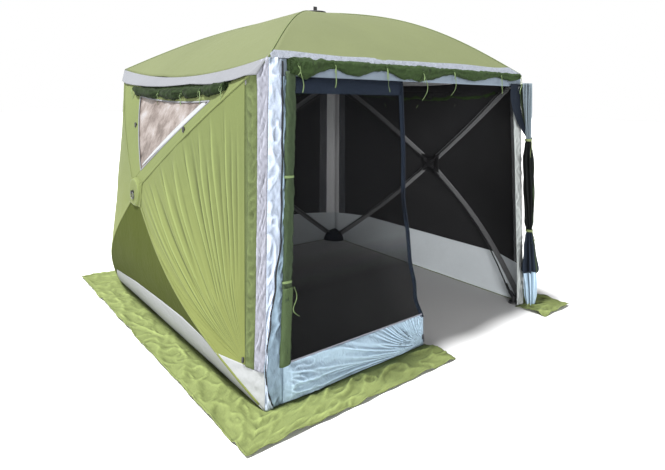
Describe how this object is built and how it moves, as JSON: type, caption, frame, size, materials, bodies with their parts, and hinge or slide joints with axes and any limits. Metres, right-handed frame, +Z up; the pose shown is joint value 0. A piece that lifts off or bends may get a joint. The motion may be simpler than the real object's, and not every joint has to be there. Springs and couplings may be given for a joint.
{
  "type": "screen tent",
  "caption": "Pop-up screen tent with hub-jointed walls and roof, insect mesh sides, a zipped door, rolled storm flaps and a ground skirt.",
  "frame": {"origin": "middle of the ground square on the floor", "axes": "+Z up, -Y out of the door wall, +X to the right of someone facing the door"},
  "size_m": [2.7804, 2.7804, 2.1011],
  "materials": {
    "storm_cloth": "woven polyester, satin",
    "roof_cloth": "woven polyester, satin",
    "skirt_cloth": "woven polyester, creased",
    "insect_mesh": "knitted mesh",
    "trim_cloth": "coated polyester, satin",
    "moulded_plastic": "moulded nylon",
    "fibreglass": "pultruded glass fibre",
    "ring_steel": "plated wire",
    "zip_metal": "painted die casting"
  },
  "bodies": {
    "root": {"door_bundle_right": "insect_mesh", "door_header": "trim_cloth", "door_mesh": "insect_mesh", "door_sill": "trim_cloth", "eave_joint_back_left": "moulded_plastic", "eave_joint_back_right": "moulded_plastic", "eave_joint_front_left": "moulded_plastic", "eave_joint_front_right": "moulded_plastic", "foot_back_left": "moulded_plastic", "foot_back_right": "moulded_plastic", "foot_front_left": "moulded_plastic", "foot_front_right": "moulded_plastic", "ground_skirt": "skirt_cloth", "jamb_left": "trim_cloth", "jamb_right": "trim_cloth", "roof_back": "roof_cloth", "roof_front": "roof_cloth", "roof_left": "roof_cloth", "roof_right": "roof_cloth", "storm_roll_back": "storm_cloth", "storm_roll_door": "storm_cloth", "storm_roll_front": "storm_cloth", "storm_roll_right": "storm_cloth", "wall_back_low": "insect_mesh", "wall_back_side_a": "insect_mesh", "wall_back_side_b": "insect_mesh", "wall_back_top": "insect_mesh", "wall_left_low": "storm_cloth", "wall_left_side_a": "storm_cloth", "wall_left_side_b": "storm_cloth", "wall_left_top": "storm_cloth", "wall_right_low": "insect_mesh", "wall_right_side_a": "insect_mesh", "wall_right_side_b": "insect_mesh", "wall_right_top": "insect_mesh", "window_roll_left": "storm_cloth"},
    "left_hub": {"wall_hub_left": "moulded_plastic"},
    "back_hub": {"wall_hub_back": "moulded_plastic"},
    "right_hub": {"wall_hub_right": "moulded_plastic"},
    "roof_hub": {"roof_hub": "moulded_plastic"},
    "left_ring": {"pull_ring_left": "ring_steel"},
    "back_ring": {"pull_ring_back": "ring_steel"},
    "right_ring": {"pull_ring_right": "ring_steel"},
    "pole_left_top_back_left": {"pole_left_top_back_left": "fibreglass"},
    "pole_left_low_back_left": {"pole_left_low_back_left": "fibreglass"},
    "pole_left_top_front_left": {"pole_left_top_front_left": "fibreglass"},
    "pole_left_low_front_left": {"pole_left_low_front_left": "fibreglass"},
    "pole_back_top_back_right": {"pole_back_top_back_right": "fibreglass"},
    "pole_back_low_back_right": {"pole_back_low_back_right": "fibreglass"},
    "pole_back_top_back_left": {"pole_back_top_back_left": "fibreglass"},
    "pole_back_low_back_left": {"pole_back_low_back_left": "fibreglass"},
    "pole_right_top_front_right": {"pole_right_top_front_right": "fibreglass"},
    "pole_right_low_front_right": {"pole_right_low_front_right": "fibreglass"},
    "pole_right_top_back_right": {"pole_right_top_back_right": "fibreglass"},
    "pole_right_low_back_right": {"pole_right_low_back_right": "fibreglass"},
    "pole_roof_front_left": {"pole_roof_front_left": "fibreglass"},
    "pole_roof_front_right": {"pole_roof_front_right": "fibreglass"},
    "pole_roof_back_right": {"pole_roof_back_right": "fibreglass"},
    "pole_roof_back_left": {"pole_roof_back_left": "fibreglass"},
    "zip_slider": {"door_zip_slider": "zip_metal"}
  },
  "joints": [
    {"name": "left_hub_push", "type": "slide", "parent": "root", "child": "left_hub", "axis": [0.9963, 0, -0.0865], "range_m": [0, 0.5271], "deforming": ["wall_left_top", "wall_left_low", "wall_left_side_a", "wall_left_side_b"]},
    {"name": "back_hub_push", "type": "slide", "parent": "root", "child": "back_hub", "axis": [0, -0.9963, -0.0865], "range_m": [0, 0.5271], "deforming": ["wall_back_top", "wall_back_low", "wall_back_side_a", "wall_back_side_b"]},
    {"name": "right_hub_push", "type": "slide", "parent": "root", "child": "right_hub", "axis": [-0.9963, 0, -0.0865], "range_m": [0, 0.5271], "deforming": ["wall_right_top", "wall_right_low", "wall_right_side_a", "wall_right_side_b"]},
    {"name": "roof_hub_push", "type": "slide", "parent": "root", "child": "roof_hub", "axis": [0, 0, -1], "range_m": [0, 0.7627], "deforming": ["roof_front", "roof_left", "roof_back", "roof_right"]},
    {"name": "left_ring_swing", "type": "hinge", "parent": "left_hub", "child": "left_ring", "pos_m": [-1.3419, 0, 0.9406], "axis": [0, 1, 0], "range_deg": [-2, 165]},
    {"name": "back_ring_swing", "type": "hinge", "parent": "back_hub", "child": "back_ring", "pos_m": [0, 1.3419, 0.9406], "axis": [1, 0, 0], "range_deg": [-2, 165]},
    {"name": "right_ring_swing", "type": "hinge", "parent": "right_hub", "child": "right_ring", "pos_m": [1.3419, 0, 0.9406], "axis": [0, -1, 0], "range_deg": [-2, 165]},
    {"name": "pole_left_top_back_left_pivot", "type": "hinge", "parent": "root", "child": "pole_left_top_back_left", "pos_m": [-0.9675, 0.91214, 1.57728], "axis": [0.0698, -0.5901, 0.8043], "range_deg": [0, 27.58]},
    {"name": "pole_left_low_back_left_pivot", "type": "hinge", "parent": "root", "child": "pole_left_low_back_left", "pos_m": [-1.10502, 1.05808, 0.07258], "axis": [0.0676, 0.6237, 0.7787], "range_deg": [0, 22.97]},
    {"name": "pole_left_top_front_left_pivot", "type": "hinge", "parent": "root", "child": "pole_left_top_front_left", "pos_m": [-0.9675, -0.91214, 1.57728], "axis": [-0.0698, -0.5901, -0.8043], "range_deg": [0, 27.58]},
    {"name": "pole_left_low_front_left_pivot", "type": "hinge", "parent": "root", "child": "pole_left_low_front_left", "pos_m": [-1.10502, -1.05808, 0.07258], "axis": [-0.0676, 0.6237, -0.7787], "range_deg": [0, 22.97]},
    {"name": "pole_back_top_back_right_pivot", "type": "hinge", "parent": "root", "child": "pole_back_top_back_right", "pos_m": [0.91214, 0.9675, 1.57728], "axis": [-0.5901, -0.0698, 0.8043], "range_deg": [0, 27.58]},
    {"name": "pole_back_low_back_right_pivot", "type": "hinge", "parent": "root", "child": "pole_back_low_back_right", "pos_m": [1.05808, 1.10502, 0.07258], "axis": [0.6237, -0.0676, 0.7787], "range_deg": [0, 22.97]},
    {"name": "pole_back_top_back_left_pivot", "type": "hinge", "parent": "root", "child": "pole_back_top_back_left", "pos_m": [-0.91214, 0.9675, 1.57728], "axis": [-0.5901, 0.0698, -0.8043], "range_deg": [0, 27.58]},
    {"name": "pole_back_low_back_left_pivot", "type": "hinge", "parent": "root", "child": "pole_back_low_back_left", "pos_m": [-1.05808, 1.10502, 0.07258], "axis": [0.6237, 0.0676, -0.7787], "range_deg": [0, 22.97]},
    {"name": "pole_right_top_front_right_pivot", "type": "hinge", "parent": "root", "child": "pole_right_top_front_right", "pos_m": [0.9675, -0.91214, 1.57728], "axis": [-0.0698, 0.5901, 0.8043], "range_deg": [0, 27.58]},
    {"name": "pole_right_low_front_right_pivot", "type": "hinge", "parent": "root", "child": "pole_right_low_front_right", "pos_m": [1.10502, -1.05808, 0.07258], "axis": [-0.0676, -0.6237, 0.7787], "range_deg": [0, 22.97]},
    {"name": "pole_right_top_back_right_pivot", "type": "hinge", "parent": "root", "child": "pole_right_top_back_right", "pos_m": [0.9675, 0.91214, 1.57728], "axis": [0.0698, 0.5901, -0.8043], "range_deg": [0, 27.58]},
    {"name": "pole_right_low_back_right_pivot", "type": "hinge", "parent": "root", "child": "pole_right_low_back_right", "pos_m": [1.10502, 1.05808, 0.07258], "axis": [0.0676, -0.6237, -0.7787], "range_deg": [0, 22.97]},
    {"name": "pole_roof_front_left_pivot", "type": "hinge", "parent": "root", "child": "pole_roof_front_left", "pos_m": [-0.91772, -0.91772, 1.62066], "axis": [-0.7071, 0.7071, 0], "range_deg": [0, 35.1]},
    {"name": "pole_roof_front_right_pivot", "type": "hinge", "parent": "root", "child": "pole_roof_front_right", "pos_m": [0.91772, -0.91772, 1.62066], "axis": [-0.7071, -0.7071, 0], "range_deg": [0, 35.1]},
    {"name": "pole_roof_back_right_pivot", "type": "hinge", "parent": "root", "child": "pole_roof_back_right", "pos_m": [0.91772, 0.91772, 1.62066], "axis": [0.7071, -0.7071, 0], "range_deg": [0, 35.1]},
    {"name": "pole_roof_back_left_pivot", "type": "hinge", "parent": "root", "child": "pole_roof_back_left", "pos_m": [-0.91772, 0.91772, 1.62066], "axis": [0.7071, 0.7071, 0], "range_deg": [0, 35.1]},
    {"name": "door_zip", "type": "slide", "parent": "root", "child": "zip_slider", "axis": [-0.1028, 0.086, 0.991], "range_m": [0, 1.4]}
  ],
  "couplings": [
    {"joint": "pole_left_top_back_left_pivot", "follows": "left_hub_push", "rad_per_m": 0.9132},
    {"joint": "pole_left_low_back_left_pivot", "follows": "left_hub_push", "rad_per_m": 0.76028},
    {"joint": "pole_left_top_front_left_pivot", "follows": "left_hub_push", "rad_per_m": 0.9132},
    {"joint": "pole_left_low_front_left_pivot", "follows": "left_hub_push", "rad_per_m": 0.76028},
    {"joint": "pole_back_top_back_right_pivot", "follows": "back_hub_push", "rad_per_m": 0.9132},
    {"joint": "pole_back_low_back_right_pivot", "follows": "back_hub_push", "rad_per_m": 0.76028},
    {"joint": "pole_back_top_back_left_pivot", "follows": "back_hub_push", "rad_per_m": 0.9132},
    {"joint": "pole_back_low_back_left_pivot", "follows": "back_hub_push", "rad_per_m": 0.76028},
    {"joint": "pole_right_top_front_right_pivot", "follows": "right_hub_push", "rad_per_m": 0.9132},
    {"joint": "pole_right_low_front_right_pivot", "follows": "right_hub_push", "rad_per_m": 0.76028},
    {"joint": "pole_right_top_back_right_pivot", "follows": "right_hub_push", "rad_per_m": 0.9132},
    {"joint": "pole_right_low_back_right_pivot", "follows": "right_hub_push", "rad_per_m": 0.76028},
    {"joint": "pole_roof_front_left_pivot", "follows": "roof_hub_push", "rad_per_m": 0.80319},
    {"joint": "pole_roof_front_right_pivot", "follows": "roof_hub_push", "rad_per_m": 0.80319},
    {"joint": "pole_roof_back_right_pivot", "follows": "roof_hub_push", "rad_per_m": 0.80319},
    {"joint": "pole_roof_back_left_pivot", "follows": "roof_hub_push", "rad_per_m": 0.80319}
  ]
}
